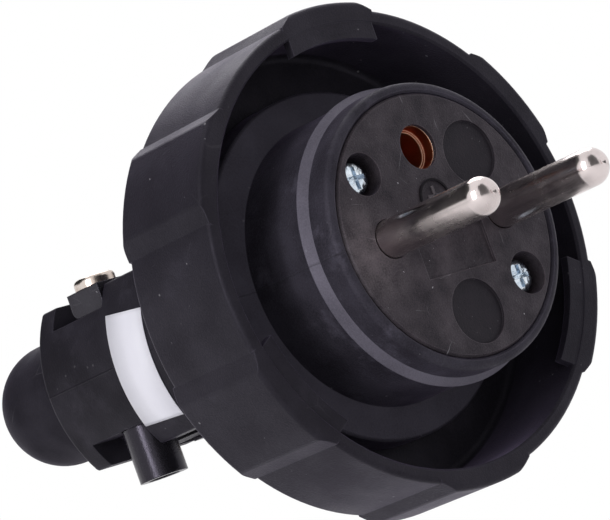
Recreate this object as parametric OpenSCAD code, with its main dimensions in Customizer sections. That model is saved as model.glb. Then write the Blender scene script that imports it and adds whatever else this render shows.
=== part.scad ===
// Round mains plug: two pins and an earth contact in a moulded carrier, a rubber body with a windowed
// neck, a bayonet locking ring that turns round it, a two-screw cord clamp and a closed cord bush.
// The pins point along -Y and the earth contact is uppermost, along +Z. The origin is on the contact
// face, midway between the pins. Depth means the distance behind that face, along +Y.

/* [Contacts] */
// Diameter of the two pins
pin_d = 4.8; // [4:0.1:5.4]
// Length of a pin in front of the face
pin_l = 19; // [15:0.5:22]
// Distance between the centres of the pins
pin_pitch = 19; // [17:0.25:21]
// Width of the shoulder that seats a pin in the carrier
pin_shoulder = 1.2; // [0.8:0.1:1.6]
// Relief of a pin behind the face
pin_relief = 0.2; // [0.16:0.02:0.3]
// Diameter of the dimple in the tip of a pin
dimple_d = 1; // [0.6:0.1:1.4]
// Depth of that dimple below the tip
dimple_t = 0.3; // [0.2:0.05:0.5]
// Bore of the earth contact
earth_d = 5; // [4.4:0.1:5.4]
// Length of the bore of the earth contact
earth_l = 13.3; // [11:0.1:16]
// Widening of the mouth in front of that bore
mouth_rise = 0.35; // [0.2:0.05:0.5]
// Length of the mouth
mouth_l = 1.7; // [1:0.1:2.5]
// Wall of the tube of the earth contact
earth_wall = 0.8; // [0.5:0.05:1]
// Height of the earth contact above the pins
earth_up = 10; // [9:0.25:11]
// Length of the slit that lets the tube spring
slit_l = 9; // [6:0.5:12]
// Width of that slit
slit_w = 0.6; // [0.4:0.1:1]
// Diameter of the wire pillars behind the contacts
pillar_d = 6.6; // [6:0.1:7]
// Length of the wire pillars behind the carrier
pillar_l = 10; // [8:0.5:13]
// Distance of the earth pillar behind the other two
earth_set_back = 3.2; // [0:0.1:5]
// Diameter of the wire holes in the pillars
wire_d = 3; // [2.4:0.1:3.4]
// Depth of the wire holes
wire_l = 6.5; // [5:0.5:8]
// Diameter of the terminal screws
terminal_d = 3; // [2.5:0.1:3.5]
// Length of a terminal screw
terminal_l = 4.2; // [3.6:0.1:5]

/* [Contact carrier] */
// Radius of the carrier
carrier_r = 16.75; // [16.5:0.05:18]
// Length of the carrier from the face inwards
carrier_l = 14; // [12:0.5:16]
// Depth at which the pins seat
pin_seat = 5; // [4:0.25:6]
// Depth at which the fixing screws seat
screw_seat = 3.4; // [2.5:0.1:4.5]
// Thickness of the face in front of the earth contact
face_t = 0.6; // [0.4:0.1:1.4]
// Width by which the hole in the face is larger than the earth bore
earth_lead = 0.34; // [0.1:0.02:0.5]
// Distance of the fixing screws from the edge of the carrier
screw_edge = 3.55; // [3.2:0.05:4.2]
// Angle of the fixing screws round the face
screw_angle = 140.5; // [132:0.5:148]
// Radius of the round recesses in the face
recess_r = 4.1; // [3:0.1:4.5]
// Distance of the upper recess to the side and up
recess_up = 7.8; // [7.4:0.1:8.4]
// Distance of the lower recess below the pins
recess_down = 11.2; // [10.4:0.1:11.8]
// Width of the oblong recess between the pins
panel_w = 11.6; // [8:0.2:12.5]
// Height of the oblong recess
panel_h = 5.4; // [4:0.2:6]
// Distance of the oblong recess below the pins
panel_down = 0.6; // [0:0.1:1]
// Depth of the recesses in the face
recess_t = 0.35; // [0.2:0.05:0.6]

/* [Screws] */
// Diameter of the fixing and clamp screws
screw_d = 3; // [2.6:0.1:3.2]
// Width of the rim of a fixing screw's head
fixing_rim = 0.8; // [0.6:0.05:1.1]
// Play round a fixing screw's head
fixing_play = 0.43; // [0.2:0.01:0.6]
// Height of a fixing screw's head
fixing_h = 1.9; // [1.4:0.1:2.4]
// Length of the threaded inserts in the body
insert_l = 6.5; // [5:0.5:8]
// Wall of the threaded inserts in the body
insert_wall = 1.15; // [0.8:0.05:1.4]
// Wall of rubber round those inserts
boss_wall = 1.3; // [1:0.1:1.6]
// Diameter of the clamp screw heads
head_d = 5.6; // [5:0.1:6]
// Height of the clamp screw heads
head_h = 1.4; // [1:0.1:2]
// Share of a head's height that is domed
dome_share = 0.5; // [0.3:0.05:0.7]
// Length of a cross recess, in radii of its head
cross_share = 1.25; // [1:0.05:1.4]
// Width of the slots of a cross recess
cross_w = 0.6; // [0.4:0.05:0.8]
// Width of the slots in the terminal screws
driver_w = 0.6; // [0.4:0.05:0.8]
// Depth of those slots
driver_t = 0.9; // [0.6:0.05:1.2]
// Length of the threaded inserts in the clamp
clamp_insert_l = 4.5; // [3.5:0.1:6]
// Wall of the threaded inserts in the clamp
clamp_insert_wall = 0.65; // [0.5:0.05:0.8]
// Distance of those inserts inside the ends of the posts
clamp_insert_sink = 1; // [0.4:0.1:2]

/* [Body] */
// Wall of the collar round the carrier
collar_wall = 1.38; // [1:0.02:2]
// Length of the collar in front of the ledge
collar_l = 3.7; // [3:0.1:5]
// Rounding of the collar's front edge
collar_round = 0.9; // [0.3:0.05:1]
// Rise of the sealing ledge over the collar
ledge_rise = 0.8; // [0.6:0.05:1.4]
// Length of the sloped ledge
ledge_l = 1.35; // [1:0.05:2]
// Height of the ledge over the wall behind it
wall_inset = 0.55; // [0.2:0.05:0.8]
// Length of the wall from the ledge to the flange
wall_l = 11; // [9:0.25:14]
// Reach of the flange beyond the ledge
flange_reach = 3.55; // [3:0.05:5]
// Fall of the flange's front face
flange_fall = 0.9; // [0.2:0.1:1.5]
// Thickness of the flange at its edge
flange_t = 4.2; // [3:0.1:6]
// Height of the flange over the seat of the ring
seat_drop = 2.9; // [2:0.1:3.2]
// Rise of the bead that keeps the ring on its seat
bead_rise = 1; // [0.6:0.1:1.5]
// Length of that bead
bead_l = 2; // [1.5:0.1:4]
// Rounding of the bead's edge
bead_round = 0.6; // [0.2:0.1:1]
// Width of the step that the carrier rests on
carrier_step = 1.35; // [1:0.05:2]
// Length of the shoulder that narrows to the neck
shoulder_l = 13; // [9:0.5:16]
// Height of the neck between its flat top and bottom
neck_h = 21.8; // [20.8:0.2:24]
// Width of the neck across its bulged sides
neck_w = 22.8; // [22:0.2:25]
// Radius of the bulge of those sides
bulge_r = 18; // [15:0.5:30]
// Radius to which the neck's corners are trimmed
corner_r = 13.3; // [12.6:0.1:14]
// Wall of the neck under its flat top
neck_wall = 1.6; // [1.4:0.1:2]
// Length of the neck
neck_l = 30.45; // [26:0.05:36]
// Rounding of the neck's end
neck_round = 0.8; // [0.3:0.1:1.5]
// Thickness of the collar at the neck's end
end_t = 3.5; // [2.4:0.1:4]

/* [Locking ring] */
// Space between the flange and the inside of the ring
ring_space = 5.9; // [4.5:0.1:8]
// Wall of the ring between the grips
ring_wall = 1.8; // [1.5:0.05:3]
// Widening of the ring's hollow towards its floor
draft = 0.3; // [0:0.05:0.4]
// Rise of the grips over the wall
grip_rise = 1; // [0.6:0.05:1.6]
// Number of grips
grip_count = 6; // [3:1:8]
// Angle that a grip spans at its foot
grip_foot = 29.2; // [26:0.2:36]
// Angle that a grip spans at its top
grip_top = 20.2; // [16:0.2:25]
// Chamfer along the sides of a grip
grip_edge = 0.2; // [0.1:0.05:0.6]
// Length of the ring
ring_l = 16.2; // [13:0.1:20]
// Thickness of the floor of the ring
floor_t = 2.5; // [2:0.1:4]
// Rounding between the floor and the hollow
floor_round = 1; // [0.4:0.1:2]
// Rounding of the outer edges of the ring
ring_round = 0.7; // [0.3:0.05:1.2]
// Number of bayonet lugs
lug_count = 3; // [2:1:4]
// Reach of a bayonet lug into the ring
lug_reach = 2; // [1.5:0.05:3]
// Width of a bayonet lug
lug_w = 14.2; // [10:0.2:18]
// Thickness of a bayonet lug
lug_t = 1.2; // [0.8:0.1:2.4]
// Distance of a lug behind the rim
lug_set_back = 0.15; // [0.1:0.05:1]
// Play of the ring on the body
ring_play = 0.3; // [0.2:0.05:0.4]
// Angle that the ring is turned by, towards the right pin
ring_angle = 0.8; // [-30:0.1:30]

/* [Cord clamp] */
// Diameter of the largest cord that fits
cord_d = 8.4; // [7:0.2:9]
// Width of the web between the cord and the clamp screws
clamp_web = 0.5; // [0.2:0.1:0.8]
// Width of the saddles along the neck
saddle_w = 6.6; // [5.8:0.1:7.2]
// Gap between the two saddles
saddle_gap = 3; // [2:0.1:5]
// Distance of the clamp screws from the end of the neck
clamp_back = 11; // [9:0.1:13]
// Rise of a saddle's ear over the neck's flat side
ear_rise = 0.5; // [0.2:0.1:1]
// Rounding of the ears' lower edges
ear_round = 1; // [0.4:0.1:1.4]
// Length of an ear's root inside the neck
root_l = 3; // [2:0.1:4]
// Wall of that root round its screw
root_wall = 0.6; // [0.4:0.1:0.8]
// Diameter of the posts
post_d = 6.5; // [5.8:0.1:6.6]
// Length of a post inside the neck's flat side
post_sink = 6.9; // [6:0.1:7.6]
// Length of a post beyond it
post_reach = 4; // [2:0.1:5]
// Depth of the ears' windows below the neck's flat side
ear_window_t = 2.9; // [2.4:0.1:3.4]
// Depth of the posts' windows below it
post_window_t = 3.2; // [2.6:0.1:3.8]
// Distance of the posts' windows from the middle of the neck
post_window_x = 1.4; // [1:0.1:2]
// Width of the slots in front of those windows
slot_w = 4; // [3:0.1:5]
// Length of those slots
slot_l = 9.2; // [6:0.1:12]
// Rounding of the wall between slot and window
slot_round = 1.6; // [0.6:0.1:2.4]

/* [Cord bush] */
// Width of the flange that holds the bush
bush_lip = 0.85; // [0.7:0.05:1.4]
// Length of the bush behind the neck
bush_l = 19; // [14:0.1:24]
// Rounding of the closed end of the bush
bush_round = 7.9; // [4:0.1:8]
// Wall of the bush
bush_wall = 3; // [2:0.1:4]
// Thickness of the flange inside the neck
bush_flange_t = 1.8; // [1.2:0.1:2.4]
// Diameter of the nub on the closed end
nub_d = 1.4; // [0.8:0.1:2]
// Length of that nub
nub_l = 0.4; // [0.2:0.1:0.8]

/* [Hidden] */
turn_steps = 96;
sides = [-1, 1];
half_turns = [0, 180];

// Clearances, small chamfers, and the length by which a cut passes the face that it opens
slip = 0.1;
pocket_gap = 0.12;
thread_gap = 0.04;
window_gap = 0.25;
edge = 0.3;
past = 1;

// Contacts and carrier
pin_r = pin_d / 2;
pin_x = pin_pitch / 2;
pin_seat_r = pin_r + pin_shoulder;
pillar_r = pillar_d / 2;
pillar_end = carrier_l + pillar_l;
earth_r = earth_d / 2;
earth_tube_r = earth_r + earth_wall;
mouth_end = face_t + mouth_l;
earth_end = mouth_end + earth_l;
earth_pillar_end = pillar_end + earth_set_back;
wire_r = wire_d / 2;
terminal_r = terminal_d / 2;
screw_r = screw_d / 2;
fixing_r = screw_r + fixing_rim;
screw_pitch_r = carrier_r - screw_edge;
screw_places = [
    for (turn = half_turns) screw_pitch_r * [cos(screw_angle + turn), sin(screw_angle + turn)]
];
recess_places = [[recess_up, recess_up], [0, -recess_down]];

// Body, from the face inwards
pocket_r = carrier_r + pocket_gap;
collar_r = pocket_r + collar_wall;
lip = min(collar_round, collar_wall - edge);
ledge_r = collar_r + ledge_rise;
ledge_end = collar_l + ledge_l;
wall_r = ledge_r - wall_inset;
wall_end = ledge_end + wall_l;
flange_r = ledge_r + flange_reach;
flange_front = wall_end + flange_fall;
flange_back = flange_front + flange_t;
ring_seat_r = flange_r - seat_drop;
chamber_r = pocket_r - carrier_step;
insert_r = screw_r + insert_wall;
boss_r = insert_r + boss_wall;
boss_end = carrier_l + insert_l + boss_wall;

// Locking ring
floor_front = flange_back + ring_play;
ring_back = floor_front + floor_t;
ring_front = ring_back - ring_l;
ring_in_r = flange_r + ring_space;
ring_out_r = ring_in_r + ring_wall;
grip_r = ring_out_r + grip_rise;
ring_bore_r = ring_seat_r + ring_play;
lug_front = ring_front + lug_set_back;

// Rear of the body
bead_front = ring_back + ring_play;
bead_end = bead_front + bead_l;
bead_r = ring_seat_r + bead_rise;
shoulder_end = bead_end + shoulder_l;
neck_end = shoulder_end + neck_l;
neck_top = neck_h / 2;
neck_bore_r = neck_top - neck_wall;
end_front = neck_end - end_t;

// Cord clamp
cord_r = cord_d / 2;
clamp_x = cord_r + clamp_web + screw_r;
clamp_depth = neck_end - clamp_back;
saddle_front = clamp_depth - saddle_w / 2;
saddle_back = clamp_depth + saddle_w / 2;
saddle_r = neck_bore_r - slip;
head_r = head_d / 2;
window_front = saddle_front - window_gap;
ear_window = neck_top - ear_window_t;
ear_window_x = clamp_x - head_r - window_gap;
ear_in_x = ear_window_x + window_gap;
ear_out_x = clamp_x + head_r - window_gap;
ear_low = ear_window + slip;
ear_top = neck_top + ear_rise;
root_x = clamp_x + screw_r + root_wall;
root_low = ear_low - root_l;
root_front = saddle_front + ear_round;
root_back = saddle_back - ear_round;
post_r = post_d / 2;
post_foot = neck_top - post_sink;
post_tip = neck_top + post_reach;
post_window = neck_top - post_window_t;
slot_x = post_window_x + slot_w;
slot_front = window_front - slot_l;
clamp_insert_r = screw_r + clamp_insert_wall;
clamp_insert_top = post_tip - clamp_insert_sink;
clamp_insert_low = clamp_insert_top - clamp_insert_l;
clear_of_neck = post_tip + past;

// Cord bush
bush_end = neck_end + bush_l;
bush_r = saddle_r - bush_lip;
bush_bore_r = bush_r - bush_wall;

// Points on an arc from angle a to angle b
function arc(centre, r, a, b, steps = 8) = [
    for (i = [0:steps]) centre + r * [cos(a + (b - a) * i / steps), sin(a + (b - a) * i / steps)]
];

// Points on a smooth S-curve between two [radius, depth] points
function shoulder(from, to, steps = 28) = [
    for (i = [0:steps])
        let (share = i / steps)
        [from.x + (to.x - from.x) * (1 - cos(180 * share)) / 2, from.y + (to.y - from.y) * share]
];

// A solid of [radius, depth] points turned round an axis parallel to the plug's, through x and z
module turned(profile, x = 0, z = 0) {
    translate([x, 0, z])
        rotate([-90, 0, 0])
            rotate_extrude($fn = turn_steps)
                polygon(profile);
}

// A solid drawn as seen from the pins' side, between two depths
module slab(front, back) {
    translate([0, back, 0])
        rotate([90, 0, 0])
            linear_extrude(back - front)
                children();
}

// A round bar or hole parallel to the plug's axis, between two depths
module bar(x, z, r, front, back) {
    translate([x, front, z])
        rotate([-90, 0, 0])
            cylinder(r = r, h = back - front, $fn = turn_steps);
}

// A round bar or hole across the neck at a clamp screw, between two heights
module upright(side, r, low, high) {
    translate([side * clamp_x, clamp_depth, low])
        cylinder(r = r, h = high - low, $fn = turn_steps);
}

// A solid drawn as seen from the side, between two places across the plug
module across(left, right) {
    translate([left, 0, 0])
        rotate([90, 0, 90])
            linear_extrude(right - left)
                children();
}

// A box between two corners
module block(low, high) {
    translate(low)
        cube(high - low);
}

// Children on both sides of the plug, turned by half a turn round its axis
module on_both_sides() {
    for (turn = half_turns)
        rotate([0, turn, 0])
            children();
}

// Two crossed slots, cut down from the origin
module cross_recess(length, width, sink) {
    for (turn = [0, 90])
        rotate([0, 0, turn])
            translate([-length / 2, -width / 2, -sink])
                cube([length, width, sink + past]);
}

// The rounded outer edges of the ring at a given radius, from the rim to the back
function ring_outside(r) = concat(
    arc([r - ring_round, ring_front + ring_round], ring_round, -90, 0),
    arc([r - ring_round, ring_back - ring_round], ring_round, 0, 90)
);

// The section of the ring between the grips
function ring_section() = concat(
    [[ring_bore_r, floor_front]],
    arc([ring_in_r + draft - floor_round, floor_front - floor_round], floor_round, 90, 0),
    [[ring_in_r, ring_front + edge], [ring_in_r + edge, ring_front]],
    ring_outside(ring_out_r),
    [[ring_bore_r + edge, ring_back], [ring_bore_r, ring_back - edge]]
);

// One side of a grip's outline, from the axis to its foot and over its chamfered edge
function grip_side(side) =
    let (foot = ring_out_r * [sin(grip_foot / 2), cos(grip_foot / 2)])
    let (top = grip_r * [sin(grip_top / 2), cos(grip_top / 2)])
    let (flank = (top - foot) / norm(top - foot))
    let (along = [-cos(grip_top / 2), sin(grip_top / 2)])
    let (low = top - grip_edge * flank)
    let (high = low + 1.5 * grip_rise * (flank + along))
    [for (p = [[foot.x, 0], foot, low, high]) [side * p.x, p.y]];

// One grip: a band at the full radius, rooted in the wall and cut to a wedge
module grip() {
    right = grip_side(1);
    left = grip_side(-1);
    root_r = ring_out_r - ring_wall / 2;
    intersection() {
        turned(concat([[root_r, ring_front]], ring_outside(grip_r), [[root_r, ring_back]]));
        slab(ring_front - past, ring_back + past)
            polygon(concat(right, [for (i = [len(left) - 1:-1:0]) left[i]]));
    }
}

// One bayonet lug, a tongue just behind the rim
module lug() {
    in_r = ring_in_r - lug_reach;
    out_r = ring_in_r + ring_wall / 2;
    lug_back = lug_front + lug_t;
    intersection() {
        turned([[in_r, lug_front], [out_r, lug_front], [out_r, lug_back], [in_r, lug_back]]);
        block([-lug_w / 2, 0, 0], [lug_w / 2, ring_back, grip_r]);
    }
}

module locking_ring() {
    color("#2c2b2f")
    rotate([0, ring_angle, 0])
    union() {
        turned(ring_section());
        for (i = [1:grip_count])
            rotate([0, i * 360 / grip_count, 0])
                grip();
        for (i = [1:lug_count])
            rotate([0, i * 360 / lug_count, 0])
                lug();
    }
}

// The outside of the body, from the face to the end of the shoulder
function body_outside() = concat(
    [[0, 0], [pocket_r + edge, 0]],
    arc([collar_r - lip, lip], lip, -90, 0),
    [[collar_r, collar_l], [ledge_r, ledge_end], [wall_r, ledge_end + wall_inset]],
    [[wall_r, wall_end], [flange_r - edge, flange_front], [flange_r, flange_front + edge]],
    [[flange_r, flange_back], [ring_seat_r, flange_back], [ring_seat_r, bead_front]],
    arc([bead_r - bead_round, bead_front + bead_round], bead_round, -90, 0),
    shoulder([bead_r, bead_end], [neck_top - edge, shoulder_end]),
    [[0, shoulder_end]]
);

// The inside of the body, from the carrier's pocket to the hole for the bush
function body_inside() = concat(
    [[0, -past], [pocket_r + edge + past, -past], [pocket_r, edge], [pocket_r, carrier_l]],
    [[chamber_r, carrier_l]],
    shoulder([chamber_r, bead_end], [neck_bore_r, shoulder_end]),
    [[neck_bore_r, end_front], [bush_r + slip, end_front], [bush_r + slip, neck_end + past]],
    [[0, neck_end + past]]
);

// The section of a round bar of the neck, with a rounded edge at the neck's end
function round_end(r) = concat(
    [[0, bead_end], [r, bead_end]],
    arc([r - neck_round, neck_end - neck_round], neck_round, 0, 90),
    [[0, neck_end]]
);

// The neck before it is hollowed: flat above and below, bulged at the sides, trimmed at the corners
module neck() {
    bulge_x = bulge_r - neck_w / 2;
    low_edge = [neck_end - neck_round, neck_round - neck_top];
    high_edge = [neck_end - neck_round, neck_top - neck_round];
    intersection() {
        turned(round_end(bulge_r), x = bulge_x);
        turned(round_end(bulge_r), x = -bulge_x);
        turned(round_end(corner_r));
        across(-neck_w, neck_w)
            polygon(concat(
                [[bead_end, neck_top], [bead_end, -neck_top]],
                arc(low_edge, neck_round, -90, 0),
                arc(high_edge, neck_round, 0, 90)
            ));
    }
}

// The opening for a post, seen from above: a slot that widens to a window
function post_opening() = concat(
    [[-post_window_x, slot_front], [-slot_x, slot_front]],
    arc([-slot_x - slot_round, window_front - slot_round], slot_round, 0, 90),
    [[-clear_of_neck, window_front], [-clear_of_neck, end_front], [-post_window_x, end_front]]
);

// Openings on the left of the neck: the window and notch of an ear above, those of a post below
module neck_openings() {
    block([-clear_of_neck, window_front, ear_window], [-ear_window_x, end_front, clear_of_neck]);
    block(
        [-root_x - window_gap, root_front - window_gap, root_low - window_gap],
        [-ear_window_x, root_back + window_gap, clear_of_neck]
    );
    translate([0, 0, -clear_of_neck])
        linear_extrude(clear_of_neck - post_window)
            polygon(post_opening());
    upright(-1, post_r + window_gap, -clear_of_neck, window_gap - post_foot);
}

module plug_body() {
    color("#29282c")
    difference() {
        union() {
            difference() {
                union() {
                    turned(body_outside());
                    neck();
                }
                turned(body_inside());
            }
            for (place = screw_places)
                bar(place.x, place.y, boss_r, carrier_l, boss_end);
        }
        for (place = screw_places)
            bar(place.x, place.y, insert_r + thread_gap, carrier_l - past, carrier_l + insert_l);
        on_both_sides()
            neck_openings();
    }
}

// The carrier is bored from behind for the contacts and from the face for its screws
module contact_carrier() {
    front = -past;
    back = carrier_l + past;
    color("#26221f")
    difference() {
        turned([
            [0, 0], [carrier_r - edge, 0], [carrier_r, edge], [carrier_r, carrier_l], [0, carrier_l]
        ]);
        for (side = sides) {
            bar(side * pin_x, 0, pin_r + slip, front, back);
            bar(side * pin_x, 0, pin_seat_r + slip, pin_seat, back);
        }
        bar(0, earth_up, earth_r + earth_lead, front, back);
        bar(0, earth_up, earth_tube_r + slip, face_t, back);
        for (place = screw_places) {
            bar(place.x, place.y, fixing_r + fixing_play, front, screw_seat);
            bar(place.x, place.y, screw_r + slip, front, back);
        }
        for (place = recess_places)
            bar(place.x, place.y, recess_r, front, recess_t);
        block(
            [-panel_w / 2, front, -panel_down - panel_h],
            [panel_w / 2, recess_t, -panel_down]
        );
    }
}

// The hole for a terminal screw, drawn upwards from the middle of a pillar
module terminal_hole() {
    cylinder(r = terminal_r + thread_gap, h = pillar_r + past, $fn = turn_steps);
}

// Where a terminal screw stands: across the pillar of a pin, towards the middle of the plug
module at_pin_terminal(side) {
    translate([side * pin_x, pillar_end - wire_l / 2, 0])
        rotate([0, -side * 90, 0])
            children();
}

// The same for the earth pillar, downwards
module at_earth_terminal() {
    translate([0, earth_pillar_end - wire_l / 2, earth_up])
        rotate([180, 0, 0])
            children();
}

// A pin with a domed tip, a relieved stem and a shoulder in the carrier, and a wire pillar behind
module contact_pin(side) {
    tip = asin(dimple_d / pin_d) - 90;
    stem_r = pin_r - pin_relief;
    color("#c9c4bb")
    difference() {
        turned(concat(
            [[0, dimple_t - pin_l]],
            arc([0, pin_r - pin_l], pin_r, tip, 0, 18),
            [[pin_r, 0], [stem_r, pin_relief], [stem_r, pin_seat]],
            [[pin_seat_r, pin_seat], [pin_seat_r, carrier_l]],
            [[pillar_r, carrier_l], [pillar_r, pillar_end - edge], [pillar_r - edge, pillar_end]],
            [[0, pillar_end]]
        ), x = side * pin_x);
        bar(side * pin_x, 0, wire_r, pillar_end - wire_l, pillar_end + past);
        at_pin_terminal(side)
            terminal_hole();
    }
}

module live_pin() {
    contact_pin(-1);
}

module neutral_pin() {
    contact_pin(1);
}

// A slit copper tube with a wider mouth in front of its bore and a wire pillar behind it
module earth_contact() {
    color("#b4693c")
    difference() {
        turned([
            [0, earth_end], [earth_r, earth_end], [earth_r, mouth_end],
            [earth_r + mouth_rise, mouth_end], [earth_r + mouth_rise, face_t], [earth_tube_r, face_t],
            [earth_tube_r, carrier_l], [pillar_r, carrier_l], [pillar_r, earth_pillar_end],
            [0, earth_pillar_end]
        ], z = earth_up);
        block(
            [-slit_w / 2, face_t - past, earth_up],
            [slit_w / 2, face_t + slit_l, earth_up + earth_tube_r + past]
        );
        bar(0, earth_up, wire_r, earth_pillar_end - wire_l, earth_pillar_end + past);
        at_earth_terminal()
            terminal_hole();
    }
}

// A slotted grub screw, drawn upwards from the wire that it presses on
module terminal_screw() {
    top = wire_r / 2 + terminal_l;
    color("#b9b6ae")
    difference() {
        translate([0, 0, wire_r / 2])
            cylinder(r = terminal_r, h = terminal_l, $fn = turn_steps);
        block([-terminal_d, -driver_w / 2, top - driver_t], [terminal_d, driver_w / 2, top + past]);
    }
}

module live_terminal_screw() {
    at_pin_terminal(-1)
        terminal_screw();
}

module neutral_terminal_screw() {
    at_pin_terminal(1)
        terminal_screw();
}

module earth_terminal_screw() {
    at_earth_terminal()
        terminal_screw();
}

// A screw drawn along +Z, with the underside of its domed head at the origin
module pan_screw(r, height, length) {
    dome = dome_share * height;
    color("#c4c6cc")
    difference() {
        rotate_extrude($fn = turn_steps)
            polygon(concat(
                [[0, -length], [screw_r - edge, -length], [screw_r, edge - length], [screw_r, 0]],
                [[r, 0]],
                arc([r - dome, height - dome], dome, 0, 90),
                [[0, height]]
            ));
        translate([0, 0, height])
            cross_recess(cross_share * r, cross_w, dome);
    }
}

module carrier_screws() {
    for (place = screw_places)
        translate([place.x, screw_seat, place.y])
            rotate([90, 0, 0])
                pan_screw(fixing_r, fixing_h, carrier_l + insert_l - screw_seat - edge);
}

module carrier_inserts() {
    insert_end = carrier_l + insert_l;
    bore_r = screw_r + thread_gap;
    color("#b08d4a")
    for (place = screw_places)
        turned(
            [[bore_r, carrier_l], [insert_r, carrier_l], [insert_r, insert_end], [bore_r, insert_end]],
            x = place.x,
            z = place.y
        );
}

// Half of a clamp, which fills the bore of the neck above the cord
module saddle_half() {
    difference() {
        intersection() {
            bar(0, 0, saddle_r, saddle_front, saddle_back);
            block([-neck_w, 0, saddle_gap / 2], [neck_w, neck_end, neck_h]);
        }
        bar(0, 0, cord_r, saddle_front - past, saddle_back + past);
    }
}

// An ear on the left, a block under a screw head with rounded lower edges, and its root inside the neck
module ear() {
    centre_z = ear_low + ear_round;
    across(-ear_out_x, -ear_in_x)
        polygon(concat(
            [[saddle_back, ear_top], [saddle_front, ear_top]],
            arc([saddle_front + ear_round, centre_z], ear_round, 180, 270),
            arc([saddle_back - ear_round, centre_z], ear_round, 270, 360)
        ));
    block([-root_x, root_front, root_low], [-ear_in_x, root_back, centre_z]);
}

// One of two equal saddles, with an ear for a screw on the left and a post for the other on the right
module saddle() {
    difference() {
        union() {
            saddle_half();
            ear();
            upright(1, post_r, post_foot, post_tip);
        }
        for (side = sides)
            upright(side, screw_r + slip, 0, post_tip + past);
        upright(1, clamp_insert_r + thread_gap, clamp_insert_low, post_tip + past);
    }
}

module upper_saddle() {
    color("#2a292c")
        saddle();
}

module lower_saddle() {
    color("#242326")
        rotate([0, 180, 0])
            saddle();
}

module clamp_screws() {
    on_both_sides()
        translate([-clamp_x, clamp_depth, ear_top])
            pan_screw(head_r, head_h, ear_top + clamp_insert_top - edge);
}

module clamp_inserts() {
    color("#b08d4a")
    on_both_sides()
        difference() {
            upright(1, clamp_insert_r, clamp_insert_low, clamp_insert_top);
            upright(1, screw_r + thread_gap, clamp_insert_low - past, clamp_insert_top + past);
        }
}

module cord_bush() {
    lip_front = end_front - bush_flange_t;
    nub_r = nub_d / 2;
    inner_end = bush_end - bush_wall;
    round_r = bush_r - bush_round;
    color("#323136")
    turned(concat(
        [[bush_bore_r, lip_front], [saddle_r, lip_front], [saddle_r, end_front], [bush_r, end_front]],
        arc([round_r, bush_end - bush_round], bush_round, 0, acos((nub_r - round_r) / bush_round), 20),
        [[nub_r, bush_end + nub_l], [0, bush_end + nub_l], [0, inner_end]],
        [[bush_bore_r, inner_end - bush_bore_r]]
    ));
}

locking_ring();
plug_body();
contact_carrier();
live_pin();
neutral_pin();
earth_contact();
live_terminal_screw();
neutral_terminal_screw();
earth_terminal_screw();
carrier_screws();
carrier_inserts();
upper_saddle();
lower_saddle();
clamp_screws();
clamp_inserts();
cord_bush();
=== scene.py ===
# Round rubber mains plug: two pins and an earth contact in a moulded face, a rubber body with a
# windowed neck, a bayonet ring that turns round it, a screwed cord clamp and a closed cord bush.
# The pins point along -Y and the earth contact is uppermost. All sizes are in metres.
import math
import bmesh
import bpy
from mathutils import Matrix, Vector


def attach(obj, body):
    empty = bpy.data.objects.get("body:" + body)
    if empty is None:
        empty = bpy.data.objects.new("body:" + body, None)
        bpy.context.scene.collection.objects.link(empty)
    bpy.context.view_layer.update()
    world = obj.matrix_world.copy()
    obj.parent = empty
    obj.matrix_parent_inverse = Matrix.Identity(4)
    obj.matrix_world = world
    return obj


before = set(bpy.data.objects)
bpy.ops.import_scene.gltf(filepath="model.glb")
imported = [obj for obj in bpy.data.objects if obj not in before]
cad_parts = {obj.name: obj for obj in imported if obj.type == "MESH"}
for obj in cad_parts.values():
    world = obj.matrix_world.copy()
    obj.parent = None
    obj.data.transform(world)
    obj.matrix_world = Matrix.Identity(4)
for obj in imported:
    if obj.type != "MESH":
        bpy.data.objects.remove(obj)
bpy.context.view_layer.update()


# Plug body
# One moulding of soft black rubber, with a collar round the face, a sealing ledge, a flange that the
# ring turns behind and a neck for the cord. It comes out of the mould matt, with a fine grain.
def add(tree, kind, inputs=None, **properties):
    """A shader node, with its properties set and each input given a value or another node's output."""
    made = tree.nodes.new("ShaderNode" + kind)
    for name, value in properties.items():
        setattr(made, name, value)
    for name, value in (inputs or {}).items():
        if isinstance(value, bpy.types.NodeSocket):
            tree.links.new(value, made.inputs[name])
        else:
            made.inputs[name].default_value = value
    return made


def calculate(tree, operation, first, second):
    """The result of one operation on two values."""
    return add(tree, "Math", {0: first, 1: second}, operation=operation).outputs[0]


def spread(tree, value, low=0.0, high=1.0, to_low=0.0, to_high=1.0):
    """A value between low and high, spread to the range between to_low and to_high."""
    inputs = {"Value": value, "From Min": low, "From Max": high, "To Min": to_low, "To Max": to_high}
    return add(tree, "MapRange", inputs).outputs[0]


def blend_colours(tree, share, first, second):
    """The first colour where share is 0, and the second where it is 1.

    Each is another node's output, or the red, green and blue of a plain colour.
    """
    inputs = {"Fac": share}
    for name, colour in (("Color1", first), ("Color2", second)):
        inputs[name] = colour if isinstance(colour, bpy.types.NodeSocket) else (*colour, 1)
    return add(tree, "MixRGB", inputs).outputs[0]


def new_group(name, inputs, outputs):
    """An empty node group, with the sockets that its own nodes read from and write to."""
    group = bpy.data.node_groups.new(name, "ShaderNodeTree")
    for socket_name, value in inputs.items():
        socket = group.interface.new_socket(socket_name, in_out="INPUT", socket_type="NodeSocketFloat")
        socket.default_value = value
    for socket_name, kind in outputs.items():
        group.interface.new_socket(socket_name, in_out="OUTPUT", socket_type=kind)
    return group, group.nodes.new("NodeGroupInput").outputs, group.nodes.new("NodeGroupOutput").inputs


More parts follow.
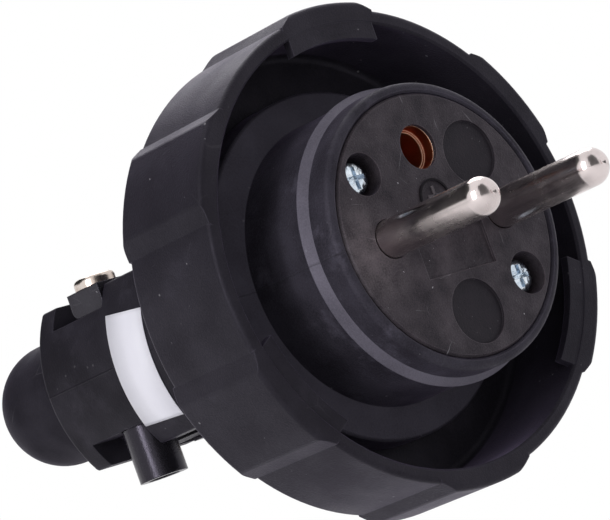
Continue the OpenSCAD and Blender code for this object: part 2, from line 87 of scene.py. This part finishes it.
def make_mould_skin():
    """The fine grain that a moulded surface takes from its mould, and broad patches of tone."""
    group, given, result = new_group(
        "mould_skin",
        {"Grain": 4500.0, "Patches": 90.0, "Speckle": 0.4},
        {"Height": "NodeSocketFloat", "Tone": "NodeSocketFloat"},
    )
    pit_depth = 0.6
    middle_grey = 0.5
    place = add(group, "TexCoord").outputs["Object"]
    grain = {"Vector": place, "Scale": given["Grain"], "Detail": 3.0, "Roughness": 0.65}
    fine = add(group, "TexNoise", grain).outputs[0]
    pits = add(group, "TexVoronoi", {"Vector": place, "Scale": given["Grain"]}).outputs["Distance"]
    height = calculate(group, "ADD", fine, calculate(group, "MULTIPLY", pits, pit_depth))
    group.links.new(height, result["Height"])
    broad = {"Vector": place, "Scale": given["Patches"], "Detail": 5.0}
    patches = spread(group, add(group, "TexNoise", broad).outputs[0], low=0.32, high=0.68)
    uneven = calculate(group, "SUBTRACT", fine, middle_grey)
    speckle = calculate(group, "MULTIPLY", uneven, given["Speckle"])
    group.links.new(calculate(group, "ADD", patches, speckle), result["Tone"])
    return group


def ragged_place(tree, scale, reach):
    """Object coordinates shaken by noise, so that a pattern on them has ragged outlines."""
    place = add(tree, "TexCoord").outputs["Object"]
    noise = add(tree, "TexNoise", {"Vector": place, "Scale": scale, "Detail": 1.0}).outputs["Color"]
    shake = {0: noise, 1: (reach, reach, reach)}
    shift = add(tree, "VectorMath", shake, operation="MULTIPLY").outputs[0]
    return add(tree, "VectorMath", {0: place, 1: shift}, operation="ADD").outputs[0]


def make_dust_specks():
    """Small specks of dust. Amount is the share of the cells that hold one."""
    group, given, result = new_group(
        "dust_specks",
        {"Cells": 800.0, "Amount": 0.1, "Size": 0.14},
        {"Mask": "NodeSocketFloat"},
    )
    place = ragged_place(group, scale=5200.0, reach=0.0003)
    cells = add(group, "TexVoronoi", {"Vector": place, "Scale": given["Cells"]})
    draw = add(group, "SeparateColor", {"Color": cells.outputs["Color"]})
    chosen = calculate(group, "LESS_THAN", draw.outputs[0], given["Amount"])
    reach = calculate(group, "MULTIPLY", given["Size"], draw.outputs[1])
    inside = calculate(group, "LESS_THAN", cells.outputs["Distance"], reach)
    group.links.new(calculate(group, "MULTIPLY", chosen, inside), result["Mask"])
    return group


def make_scratches():
    """Fine scratches: the borders of large cells, broken into short lengths."""
    group, given, result = new_group(
        "scratches",
        {"Cells": 120.0, "Width": 0.006},
        {"Mask": "NodeSocketFloat"},
    )
    place = ragged_place(group, scale=900.0, reach=0.0003)
    cells = {"Vector": place, "Scale": given["Cells"]}
    border = add(group, "TexVoronoi", cells, feature="DISTANCE_TO_EDGE").outputs["Distance"]
    line = calculate(group, "LESS_THAN", border, given["Width"])
    lengths = add(group, "TexNoise", {"Vector": place, "Scale": 210.0, "Detail": 3.0}).outputs[0]
    kept = spread(group, lengths, low=0.56, high=0.70)
    group.links.new(calculate(group, "MULTIPLY", line, kept), result["Mask"])
    return group


def make_scuffs():
    """Soft patches where a surface has been rubbed."""
    group, given, result = new_group("scuffs", {"Patches": 130.0}, {"Mask": "NodeSocketFloat"})
    place = add(group, "TexCoord").outputs["Object"]
    cloudy = {"Vector": place, "Scale": given["Patches"], "Detail": 8.0, "Roughness": 0.75}
    clouds = add(group, "TexNoise", cloudy).outputs[0]
    group.links.new(spread(group, clouds, low=0.56, high=0.74), result["Mask"])
    return group


def make_soft_edges():
    """Normals rounded over sharp edges, and a mask of where those edges are."""
    group, given, result = new_group(
        "soft_edges",
        {"Radius": 0.0002},
        {"Normal": "NodeSocketVector", "Edge": "NodeSocketFloat"},
    )
    rounded = add(group, "Bevel", {"Radius": given["Radius"]}, samples=6).outputs[0]
    true_normal = add(group, "NewGeometry").outputs["Normal"]
    alike = add(group, "VectorMath", {0: rounded, 1: true_normal}, operation="DOT_PRODUCT")
    group.links.new(rounded, result["Normal"])
    group.links.new(spread(group, alike.outputs["Value"], low=0.995, high=0.85), result["Edge"])
    return group


mould_skin = make_mould_skin()
dust_specks = make_dust_specks()
scratches = make_scratches()
scuffs = make_scuffs()
soft_edges = make_soft_edges()


def start_material(name):
    """A new material with nodes, then its tree and its one shader."""
    made = bpy.data.materials.new(name)
    made.use_nodes = True
    return made, made.node_tree, made.node_tree.nodes["Principled BSDF"]


def feeding(shader, name):
    """The output that feeds an input of a shader."""
    return shader.inputs[name].links[0].from_socket


def paint_over(material, share, colour):
    """Lays a colour over what a material shows, as thickly as share says."""
    tree = material.node_tree
    shader = tree.nodes["Principled BSDF"]
    painted = blend_colours(tree, share, feeding(shader, "Base Color"), colour)
    tree.links.new(painted, shader.inputs["Base Color"])


def black_moulding(
    name, dark, light, roughness, specular,
    grain=0.00003, patches=110.0, speckle=0.8, dust=0.2, dust_tone=0.26,
    scratched=0.1, scuffed=0.15, haze=0.05, edge=0.0002,
):
    """A black moulding: grain from the mould, patches of tone, pale wear, scratches and dust.

    Its haze is a faint violet bloom, which shows most where the surface is seen at a slant, and edge
    is the radius to which its sharp edges look rounded.
    """
    edge_wear = 0.5
    wear_paling = 3.5
    rubbed = tuple(wear_paling * part for part in light)
    scratch_grey = (0.30, 0.29, 0.32)
    dust_cover = 0.55
    dust_tint = (1.0, 0.97, 1.06)
    dust_grey = tuple(dust_tone * part for part in dust_tint)
    material, tree, shader = start_material(name)
    skin = add(tree, "Group", {"Patches": patches, "Speckle": speckle}, node_tree=mould_skin)
    edges = add(tree, "Group", {"Radius": edge}, node_tree=soft_edges)
    specks = add(tree, "Group", {"Amount": dust}, node_tree=dust_specks).outputs["Mask"]
    lines = add(tree, "Group", node_tree=scratches).outputs["Mask"]
    rubs = add(tree, "Group", node_tree=scuffs).outputs["Mask"]
    tree.links.new(blend_colours(tree, skin.outputs["Tone"], dark, light), shader.inputs["Base Color"])
    worn_edges = calculate(tree, "MULTIPLY", edges.outputs["Edge"], edge_wear)
    worn_patches = calculate(tree, "MULTIPLY", rubs, scuffed)
    paint_over(material, calculate(tree, "MAXIMUM", worn_edges, worn_patches), rubbed)
    paint_over(material, calculate(tree, "MULTIPLY", lines, scratched), scratch_grey)
    paint_over(material, calculate(tree, "MULTIPLY", specks, dust_cover), dust_grey)
    smoothest, roughest = roughness
    rough = spread(tree, skin.outputs["Tone"], to_low=roughest, to_high=smoothest)
    tree.links.new(rough, shader.inputs["Roughness"])
    bump = {"Height": skin.outputs["Height"], "Distance": grain, "Normal": edges.outputs["Normal"]}
    tree.links.new(add(tree, "Bump", bump).outputs[0], shader.inputs["Normal"])
    shader.inputs["Specular IOR Level"].default_value = specular
    shader.inputs["Specular Tint"].default_value = (0.85, 0.78, 1.0, 1)
    shader.inputs["Sheen Weight"].default_value = haze
    shader.inputs["Sheen Roughness"].default_value = 0.4
    shader.inputs["Sheen Tint"].default_value = (0.74, 0.60, 1.0, 1)
    return material


def add_seam(material, half_width, rise, paling, colour):
    """A raised line where the halves of the mould met, level with the axis of the plug."""
    tree = material.node_tree
    shader = tree.nodes["Principled BSDF"]
    place = add(tree, "SeparateXYZ", {0: add(tree, "TexCoord").outputs["Object"]})
    away = calculate(tree, "ABSOLUTE", place.outputs["Z"], 0.0)
    line = spread(tree, away, high=half_width, to_low=1.0, to_high=0.0)
    bump = {"Height": line, "Distance": rise, "Normal": feeding(shader, "Normal")}
    tree.links.new(add(tree, "Bump", bump).outputs[0], shader.inputs["Normal"])
    paint_over(material, calculate(tree, "MULTIPLY", line, paling), colour)


def add_toned_band(material, start, end, colour):
    """A band of another tone round the axis, from one depth behind the face to another."""
    tree = material.node_tree
    depth = add(tree, "SeparateXYZ", {0: add(tree, "TexCoord").outputs["Object"]}).outputs["Y"]
    past_start = calculate(tree, "GREATER_THAN", depth, start)
    before_end = calculate(tree, "LESS_THAN", depth, end)
    within = calculate(tree, "MULTIPLY", past_start, before_end)
    # Mottling of the band's tone; most of these bands are painted highlights and painted light.
    wear = add(tree, "Group", {"Speckle": 1.2}, node_tree=mould_skin).outputs["Tone"]
    cover = spread(tree, wear, to_low=0.45, to_high=0.85)
    paint_over(material, calculate(tree, "MULTIPLY", within, cover), colour)


def dress(material, *nodes):
    """Puts the material on solids of the frame."""
    for name in nodes:
        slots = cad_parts[name].data.materials
        slots.clear()
        slots.append(material)


# The ledge is the palest part and the edge of the flange is a little paler than the wall, both painted
# highlights, and the shoulder and the neck behind the ring are darker. Each band runs between two depths
# behind the face.
ledge_highlight_band = (0.0037, 0.0050)
flange_highlight_band = (0.0159, 0.0171)
neck_band = (0.0225, 0.0900)
body_rubber = black_moulding(
    "body_rubber",
    dark=(0.0160, 0.0146, 0.0197),
    light=(0.0380, 0.0349, 0.0467),
    roughness=(0.46, 0.60),
    specular=0.15,
    patches=170.0,
    speckle=2.0,
    scratched=0.05,
    scuffed=0.4,
)
# Painted highlights: the ledge and the edge of the flange are painted paler.
add_toned_band(body_rubber, *ledge_highlight_band, colour=(0.140, 0.130, 0.165))
add_toned_band(body_rubber, *flange_highlight_band, colour=(0.060, 0.055, 0.073))
add_toned_band(body_rubber, *neck_band, colour=(0.0020, 0.0018, 0.0025))
add_seam(body_rubber, half_width=0.00016, rise=0.00010, paling=0.10, colour=(0.07, 0.067, 0.078))
dress(body_rubber, "plug_body")


# Contact carrier
# A hard brownish-black moulding that fills the face, holds the contacts and is screwed into the body.
# It is dusty and scratched, with two round recesses that are painted dark as shade and made dull, and
# the earth sign stands out of it just above the line of the pins.
def away_from(tree, x, z):
    """How far a point is from the line along Y through x and z."""
    place = add(tree, "TexCoord").outputs["Object"]
    on_face = add(tree, "VectorMath", {0: place, 1: (1, 0, 1)}, operation="MULTIPLY").outputs[0]
    return add(tree, "VectorMath", {0: on_face, 1: (x, 0, z)}, operation="DISTANCE").outputs["Value"]


def shaded_dull_spots(material, centres, radius, cover, colour, roughness):
    """Darker, duller discs on a face that looks along -Y; the darkening is painted shade."""
    tree = material.node_tree
    shader = tree.nodes["Principled BSDF"]
    inside = 0.0
    for x, z in centres:
        disc = calculate(tree, "LESS_THAN", away_from(tree, x, z), radius)
        inside = calculate(tree, "MAXIMUM", inside, disc)
    paint_over(material, calculate(tree, "MULTIPLY", inside, cover), colour)
    outside = calculate(tree, "SUBTRACT", 1.0, inside)
    around = calculate(tree, "MULTIPLY", feeding(shader, "Roughness"), outside)
    duller = calculate(tree, "ADD", around, calculate(tree, "MULTIPLY", inside, roughness))
    tree.links.new(duller, shader.inputs["Roughness"])


def add_pale_zone(material, centre, radius, colour):
    """A paler, cloudy film on a face that looks along -Y, thinning out from its centre."""
    tree = material.node_tree
    near = spread(tree, away_from(tree, *centre), low=radius, high=0.0)
    cloudy = {"Patches": 420.0, "Speckle": 2.0}
    clouds = add(tree, "Group", cloudy, node_tree=mould_skin).outputs["Tone"]
    cover = spread(tree, clouds, to_low=0.25)
    paint_over(material, calculate(tree, "MULTIPLY", near, cover), colour)


recess_r = 0.0041
recess_places = ((0.0078, 0.0078), (0.0, -0.0112))
pale_place = (-0.0140, -0.0010)
pale_r = 0.0080
carrier_moulding = black_moulding(
    "carrier_moulding",
    dark=(0.0095, 0.0076, 0.0086),
    light=(0.0350, 0.0285, 0.0322),
    roughness=(0.38, 0.58),
    specular=0.30,
    grain=0.00005,
    patches=300.0,
    speckle=2.0,
    dust=0.9,
    dust_tone=0.7,
    scratched=0.45,
    scuffed=0.3,
)
add_pale_zone(carrier_moulding, pale_place, pale_r, colour=(0.130, 0.111, 0.120))
# The recesses are painted darker, as painted shade.
shaded_dull_spots(
    carrier_moulding, recess_places, recess_r, cover=0.8, colour=(0.004, 0.0035, 0.004), roughness=0.60
)
dress(carrier_moulding, "contact_carrier")


def make_object(mesh, name, material):
    """Turns a bmesh into an object of the scene, with one material."""
    data = bpy.data.meshes.new(name)
    mesh.to_mesh(data)
    mesh.free()
    data.materials.append(material)
    made = bpy.data.objects.new(name, data)
    bpy.context.scene.collection.objects.link(made)
    return made


# The sign is a ring round four bars, sunk in the face to half its thickness. Each bar has its height
# over the middle of the sign, its width and how tall it is.
sign_centre = Vector((-0.0003, 0.0, 0.0034))
sign_r = 0.0022
sign_line = 0.00028
sign_rise = 0.00022
sign_steps = 48
sign_bars = (
    (0.0009, sign_line, 0.0012),
    (0.0003, 0.0022, sign_line),
    (-0.0003, 0.0014, sign_line),
    (-0.0009, 0.0006, sign_line),
)
sign_edge = 0.00005

sign = bmesh.new()
corners = ((0, sign_rise), (0, -sign_rise), (sign_line, -sign_rise), (sign_line, sign_rise))
section = [
    sign.verts.new(sign_centre + Vector((sign_r + across, along, 0))) for across, along in corners
]
outline = [sign.edges.new((section[i - 1], section[i])) for i in range(len(section))]
bmesh.ops.spin(
    sign, geom=[*section, *outline], axis=(0, 1, 0), cent=sign_centre,
    angle=2 * math.pi, steps=sign_steps, use_merge=True,
)
ring_faces = set(sign.faces)
for height, width, tall in sign_bars:
    place = Matrix.Translation(sign_centre + Vector((0, 0, height)))
    size = Matrix.Diagonal((width, 2 * sign_rise, tall, 1))
    bmesh.ops.create_cube(sign, size=1, matrix=place @ size)
for face in sign.faces:
    face.material_index = 0 if face in ring_faces else 1
bmesh.ops.recalc_face_normals(sign, faces=sign.faces)
# The ring is painted dark, as painted shade in its groove, and the bars pale, as painted highlight.
sign_ring_shade = black_moulding(
    "sign_ring_shade",
    dark=(0.0030, 0.0026, 0.0029),
    light=(0.0060, 0.0050, 0.0056),
    roughness=(0.50, 0.62),
    specular=0.12,
    edge=sign_edge,
)
sign_bar_highlight = black_moulding(
    "sign_bar_highlight",
    dark=(0.040, 0.034, 0.037),
    light=(0.085, 0.074, 0.080),
    roughness=(0.40, 0.55),
    specular=0.30,
    edge=sign_edge,
)
earth_sign = make_object(sign, "earth_sign", sign_ring_shade)
earth_sign.data.materials.append(sign_bar_highlight)
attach(earth_sign, "plug")


# Pins and earth contact
# Two brass pins, turned and plated with bright nickel, and a bare copper tube behind the hole above
# them. All three are held in the carrier, where their rear ends clamp the wires.
def fine_metal(name, bright, dull, roughness, stretch, depth=0.000002):
    """A metal with fine lines, drawn out as stretch says, and patches that are duller than the rest."""
    material, tree, shader = start_material(name)
    place = add(tree, "TexCoord").outputs["Object"]
    drawn = add(tree, "Mapping", {"Vector": place, "Scale": stretch}).outputs[0]
    lines = add(tree, "TexNoise", {"Vector": drawn, "Scale": 1.0, "Detail": 4.0}).outputs[0]
    patches = add(tree, "TexNoise", {"Vector": place, "Scale": 260.0, "Detail": 4.0}).outputs[0]
    clouds = spread(tree, patches, low=0.35, high=0.7)
    tree.links.new(blend_colours(tree, clouds, bright, dull), shader.inputs["Base Color"])
    mean = calculate(tree, "MULTIPLY", calculate(tree, "ADD", lines, clouds), 0.5)
    smoothest, roughest = roughness
    rough = spread(tree, mean, low=0.2, high=0.8, to_low=smoothest, to_high=roughest)
    tree.links.new(rough, shader.inputs["Roughness"])
    bump = add(tree, "Bump", {"Height": lines, "Distance": depth}).outputs[0]
    tree.links.new(bump, shader.inputs["Normal"])
    shader.inputs["Metallic"].default_value = 1.0
    return material


def paint_edge_highlight(material, colour, radius):
    """Pale, matt metal painted along the edges of a piece as a painted highlight."""
    tree = material.node_tree
    shader = tree.nodes["Principled BSDF"]
    edges = add(tree, "Group", {"Radius": radius}, node_tree=soft_edges)
    paint_over(material, edges.outputs["Edge"], colour)
    tree.links.new(edges.outputs["Normal"], feeding(shader, "Normal").node.inputs["Normal"])
    matt_edge = calculate(tree, "SUBTRACT", 1.0, edges.outputs["Edge"])
    tree.links.new(matt_edge, shader.inputs["Metallic"])


streaks_along_y = (2600.0, 110.0, 2600.0)
pin_nickel = fine_metal(
    "pin_nickel",
    bright=(0.72, 0.64, 0.635),
    dull=(0.56, 0.495, 0.49),
    roughness=(0.15, 0.33),
    stretch=streaks_along_y,
    depth=0.000001,
)
dress(pin_nickel, "live_pin", "neutral_pin")

# The bore of the tube is painted brighter than its mouth, from a little way behind the face, as painted
# light inside the hole.
lines_round_y = (300.0, 9000.0, 300.0)
bore_painted_light = (0.0024, 0.0160)
earth_copper = fine_metal(
    "earth_copper",
    bright=(0.44, 0.12, 0.055),
    dull=(0.32, 0.08, 0.034),
    roughness=(0.34, 0.50),
    stretch=lines_round_y,
)
# Painted light inside the bore.
add_toned_band(earth_copper, *bore_painted_light, colour=(0.95, 0.40, 0.20))
# Painted highlight along the edges: pale, matt copper.
paint_edge_highlight(earth_copper, colour=(1.0, 0.66, 0.46), radius=0.00028)
dress(earth_copper, "earth_contact")


# Screws and inserts
# Zinc-plated steel screws with a cross recess, slotted terminal screws, and turned brass inserts that
# are set in the body and in the clamp. The plate has large flat crystals, each of its own tone.
def crystal_plate(name, bright, dull, roughness, crystals, depth):
    """Zinc plate with flat crystals that each tilt their own way."""
    material, tree, shader = start_material(name)
    place = ragged_place(tree, scale=2500.0, reach=0.0002)
    cells = add(tree, "TexVoronoi", {"Vector": place, "Scale": crystals})
    draw = add(tree, "SeparateColor", {"Color": cells.outputs["Color"]}).outputs
    tree.links.new(blend_colours(tree, draw[0], bright, dull), shader.inputs["Base Color"])
    smoothest, roughest = roughness
    rough = spread(tree, draw[1], to_low=smoothest, to_high=roughest)
    tree.links.new(rough, shader.inputs["Roughness"])
    bump = add(tree, "Bump", {"Height": cells.outputs["Distance"], "Distance": depth}).outputs[0]
    tree.links.new(bump, shader.inputs["Normal"])
    shader.inputs["Metallic"].default_value = 1.0
    return material


screw_zinc = crystal_plate(
    "screw_zinc",
    bright=(0.86, 0.93, 1.0),
    dull=(0.50, 0.59, 0.70),
    roughness=(0.16, 0.34),
    crystals=1200.0,
    depth=0.00014,
)
dress(screw_zinc, "carrier_screws")
dress(screw_zinc, "live_terminal_screw", "neutral_terminal_screw", "earth_terminal_screw")
insert_brass = fine_metal(
    "insert_brass",
    bright=(0.72, 0.52, 0.22),
    dull=(0.50, 0.34, 0.13),
    roughness=(0.24, 0.42),
    stretch=lines_round_y,
)
dress(insert_brass, "carrier_inserts", "clamp_inserts")


# Locking ring
# A stiff black moulding with grips outside and bayonet lugs inside. It is pushed on over a bead of
# the body, which keeps it there, and turns on the body.
ring_plastic = black_moulding(
    "ring_plastic",
    dark=(0.0085, 0.0078, 0.0103),
    light=(0.0170, 0.0156, 0.0206),
    roughness=(0.44, 0.58),
    specular=0.18,
    patches=140.0,
    speckle=2.0,
    scratched=0.04,
    scuffed=0.25,
    haze=0.12,
    edge=0.00025,
)
dress(ring_plastic, "locking_ring")


# Cord clamp
# Two equal black saddles in the neck, drawn together by nickel-plated steel screws. The moulding is
# glossier than the rubber and shows pale specks, and the plate has gone brownish in patches.
saddle_plastic = black_moulding(
    "saddle_plastic",
    dark=(0.0062, 0.0058, 0.0073),
    light=(0.0125, 0.0117, 0.0145),
    roughness=(0.14, 0.30),
    specular=0.36,
    grain=0.000012,
    dust=0.6,
)
dress(saddle_plastic, "upper_saddle", "lower_saddle")
even_grain = (4000.0, 4000.0, 4000.0)
clamp_screw_nickel = fine_metal(
    "clamp_screw_nickel",
    bright=(0.80, 0.74, 0.70),
    dull=(0.44, 0.33, 0.27),
    roughness=(0.14, 0.34),
    stretch=even_grain,
)
dress(clamp_screw_nickel, "clamp_screws")


# Cord bush
# A closed cap of soft black rubber, moulded in one piece and held in the end of the neck by its flange.
# It is cut open when a cord is fitted.
bush_rubber = black_moulding(
    "bush_rubber",
    dark=(0.0095, 0.0087, 0.0118),
    light=(0.0190, 0.0174, 0.0235),
    roughness=(0.56, 0.70),
    specular=0.07,
    patches=160.0,
)
dress(bush_rubber, "cord_bush")


# Label
# A bare white paper label, stuck on the bulged left side of the neck in front of the clamp. It was
# put on a little askew.
def make_label_paper():
    """White paper with a faint sheen and the unevenness of the rubber under it."""
    wave_depth = 0.00008
    material, tree, shader = start_material("label_paper")
    place = add(tree, "TexCoord").outputs["Object"]
    fibres = add(tree, "TexNoise", {"Vector": place, "Scale": 1800.0, "Detail": 4.0}).outputs[0]
    waves = add(tree, "TexNoise", {"Vector": place, "Scale": 160.0, "Detail": 2.0}).outputs[0]
    tint = blend_colours(tree, waves, (0.70, 0.69, 0.77), (0.80, 0.79, 0.87))
    tree.links.new(tint, shader.inputs["Base Color"])
    rough = spread(tree, fibres, low=0.3, high=0.7, to_low=0.38, to_high=0.52)
    tree.links.new(rough, shader.inputs["Roughness"])
    bump = add(tree, "Bump", {"Height": waves, "Distance": wave_depth}).outputs[0]
    tree.links.new(bump, shader.inputs["Normal"])
    return material


# The side of the neck is an arc round a line to the right of the axis. Each corner of the label is
# given as its depth behind the face and its height over the axis.
bulge_r = 0.0180
bulge_x = 0.0066
label_lift = 0.00003
label_thickness = 0.00008
label_rows = 32
rear_top = Vector((0.0542, 0.0067))
front_top = Vector((0.0467, 0.0057))
rear_foot = Vector((0.0549, -0.0083))
front_foot = Vector((0.0474, -0.0088))

# It starts as a flat grid, one unit wide and high, whose points then move to their places on the neck.
half_grid = 0.5
label = bmesh.new()
bmesh.ops.create_grid(label, x_segments=1, y_segments=label_rows, size=half_grid)
for point in label.verts:
    forward = half_grid + point.co.x
    down = half_grid - point.co.y
    top = rear_top.lerp(front_top, forward)
    foot = rear_foot.lerp(front_foot, forward)
    depth = top.x + (foot.x - top.x) * down ** 2
    height = top.y + (foot.y - top.y) * down
    side = bulge_x - math.sqrt((bulge_r + label_lift) ** 2 - height ** 2)
    point.co = (side, depth, height)
for face in label.faces:
    face.smooth = True
neck_label = make_object(label, "neck_label", make_label_paper())
paper = neck_label.modifiers.new("paper", "SOLIDIFY")
paper.thickness = label_thickness
paper.offset = 1.0
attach(neck_label, "plug")


# Studio
# A pale floor below the plug, soft light from above, from the left and in front, dark cards for the
# gloss and a white surround.
def seen_rays(tree):
    """1 for rays from the camera, off gloss and through glass, and 0 for those that light the object."""
    rays = add(tree, "LightPath").outputs
    seen = calculate(tree, "MAXIMUM", rays["Is Camera Ray"], rays["Is Glossy Ray"])
    return calculate(tree, "MAXIMUM", seen, rays["Is Transmission Ray"])


floor_height = -0.049
floor_reach = 3.0
floor_glow = 0.28
matt = 0.9
floor_mesh = bmesh.new()
bmesh.ops.create_grid(floor_mesh, x_segments=1, y_segments=1, size=floor_reach)
bmesh.ops.translate(floor_mesh, vec=(0, 0, floor_height), verts=floor_mesh.verts)
pale_floor, floor_tree, floor_shader = start_material("pale_floor")
floor_shader.inputs["Base Color"].default_value = (0.86, 0.86, 0.86, 1)
floor_shader.inputs["Roughness"].default_value = matt
floor_shader.inputs["Specular IOR Level"].default_value = 0.1
floor_shader.inputs["Emission Color"].default_value = (1, 1, 1, 1)
glow = calculate(floor_tree, "MULTIPLY", seen_rays(floor_tree), floor_glow)
floor_tree.links.new(glow, floor_shader.inputs["Emission Strength"])
floor = make_object(floor_mesh, "floor", pale_floor)

# Two dark cards that only gloss shows, one in front of the plug and one behind it, shape what it
# reflects. Each has its centre, a direction square to it, its width and height, and its tone.
cards = {
    "front_card": ((-0.325, -1.2, 1.05), (0, -1, 0), (1.35, 2.2), 0.2),
    "back_card": ((-0.28, 0.81, 0.69), (-0.28, 0.81, 0.69), (1.6, 1.1), 0.03),
}
for name, (centre, direction, (width, height), tone) in cards.items():
    card_mesh = bmesh.new()
    bmesh.ops.create_grid(card_mesh, x_segments=1, y_segments=1, size=0.5)
    bmesh.ops.scale(card_mesh, vec=(width, height, 1), verts=card_mesh.verts)
    turned = Vector(direction).to_track_quat("Z", "Y").to_matrix().to_4x4()
    bmesh.ops.transform(card_mesh, matrix=Matrix.Translation(centre) @ turned, verts=card_mesh.verts)
    card_paper, _, card_shader = start_material(name)
    card_shader.inputs["Base Color"].default_value = (tone, tone, tone, 1)
    card_shader.inputs["Roughness"].default_value = matt
    card = make_object(card_mesh, name, card_paper)
    card.visible_camera = False
    card.visible_diffuse = False
    card.visible_shadow = False

# The camera stands in front of the plug, to its left and a little below, and leans to the right.
target = Vector((-0.01302, 0.01180, 0.00173))
camera_distance = 0.548
camera_azimuth = math.radians(317.6)
camera_elevation = math.radians(-5.17)
camera_lean = math.radians(-19.96)
camera_data = bpy.data.cameras.new("camera")
camera_data.sensor_width = 36.0
camera_data.lens = 267.69
camera_data.clip_start = 0.01
camera = bpy.data.objects.new("camera", camera_data)
camera.matrix_world = (
    Matrix.Translation(target)
    @ Matrix.Rotation(camera_azimuth, 4, "Z")
    @ Matrix.Rotation(math.pi / 2 - camera_elevation, 4, "X")
    @ Matrix.Rotation(camera_lean, 4, "Z")
    @ Matrix.Translation((0, 0, camera_distance))
)
bpy.context.scene.collection.objects.link(camera)
bpy.context.scene.camera = camera

# Each soft box has its direction from the plug, its distance, its width and height, and its power.
# The front one lifts the shade without showing in gloss.
soft_boxes = {
    "top": ((0.44, 0.42, 0.80), 0.8, (0.5, 0.5), 2.5),
    "left": ((-0.95, -0.25, 0.20), 0.9, (0.30, 0.8), 4.6),
    "left_strip": ((-0.98, -0.17, 0.0), 0.85, (0.05, 0.6), 1.4),
    "front": ((-0.50, -0.85, 0.10), 0.9, (0.6, 0.6), 1.3),
}
for name, (direction, distance, (width, height), power) in soft_boxes.items():
    lamp = bpy.data.lights.new(name, "AREA")
    lamp.shape = "RECTANGLE"
    lamp.size = width
    lamp.size_y = height
    lamp.energy = power
    soft_box = bpy.data.objects.new(name, lamp)
    towards = Vector(direction).normalized()
    turned = towards.to_track_quat("Z", "Y").to_matrix().to_4x4()
    soft_box.matrix_world = Matrix.Translation(target + distance * towards) @ turned
    soft_box.visible_glossy = name != "front"
    bpy.context.scene.collection.objects.link(soft_box)

# The surround lights the plug at less than its full strength, and shows as white.
surround_light = 0.42
surround_seen = 1.0
world = bpy.data.worlds.new("studio")
world.use_nodes = True
bpy.context.scene.world = world
surround = world.node_tree
background = surround.nodes["Background"]
strength = spread(surround, seen_rays(surround), to_low=surround_light, to_high=surround_seen)
surround.links.new(strength, background.inputs["Strength"])
background.inputs["Color"].default_value = (1, 1, 1, 1)
bpy.context.scene.view_settings.view_transform = "Standard"
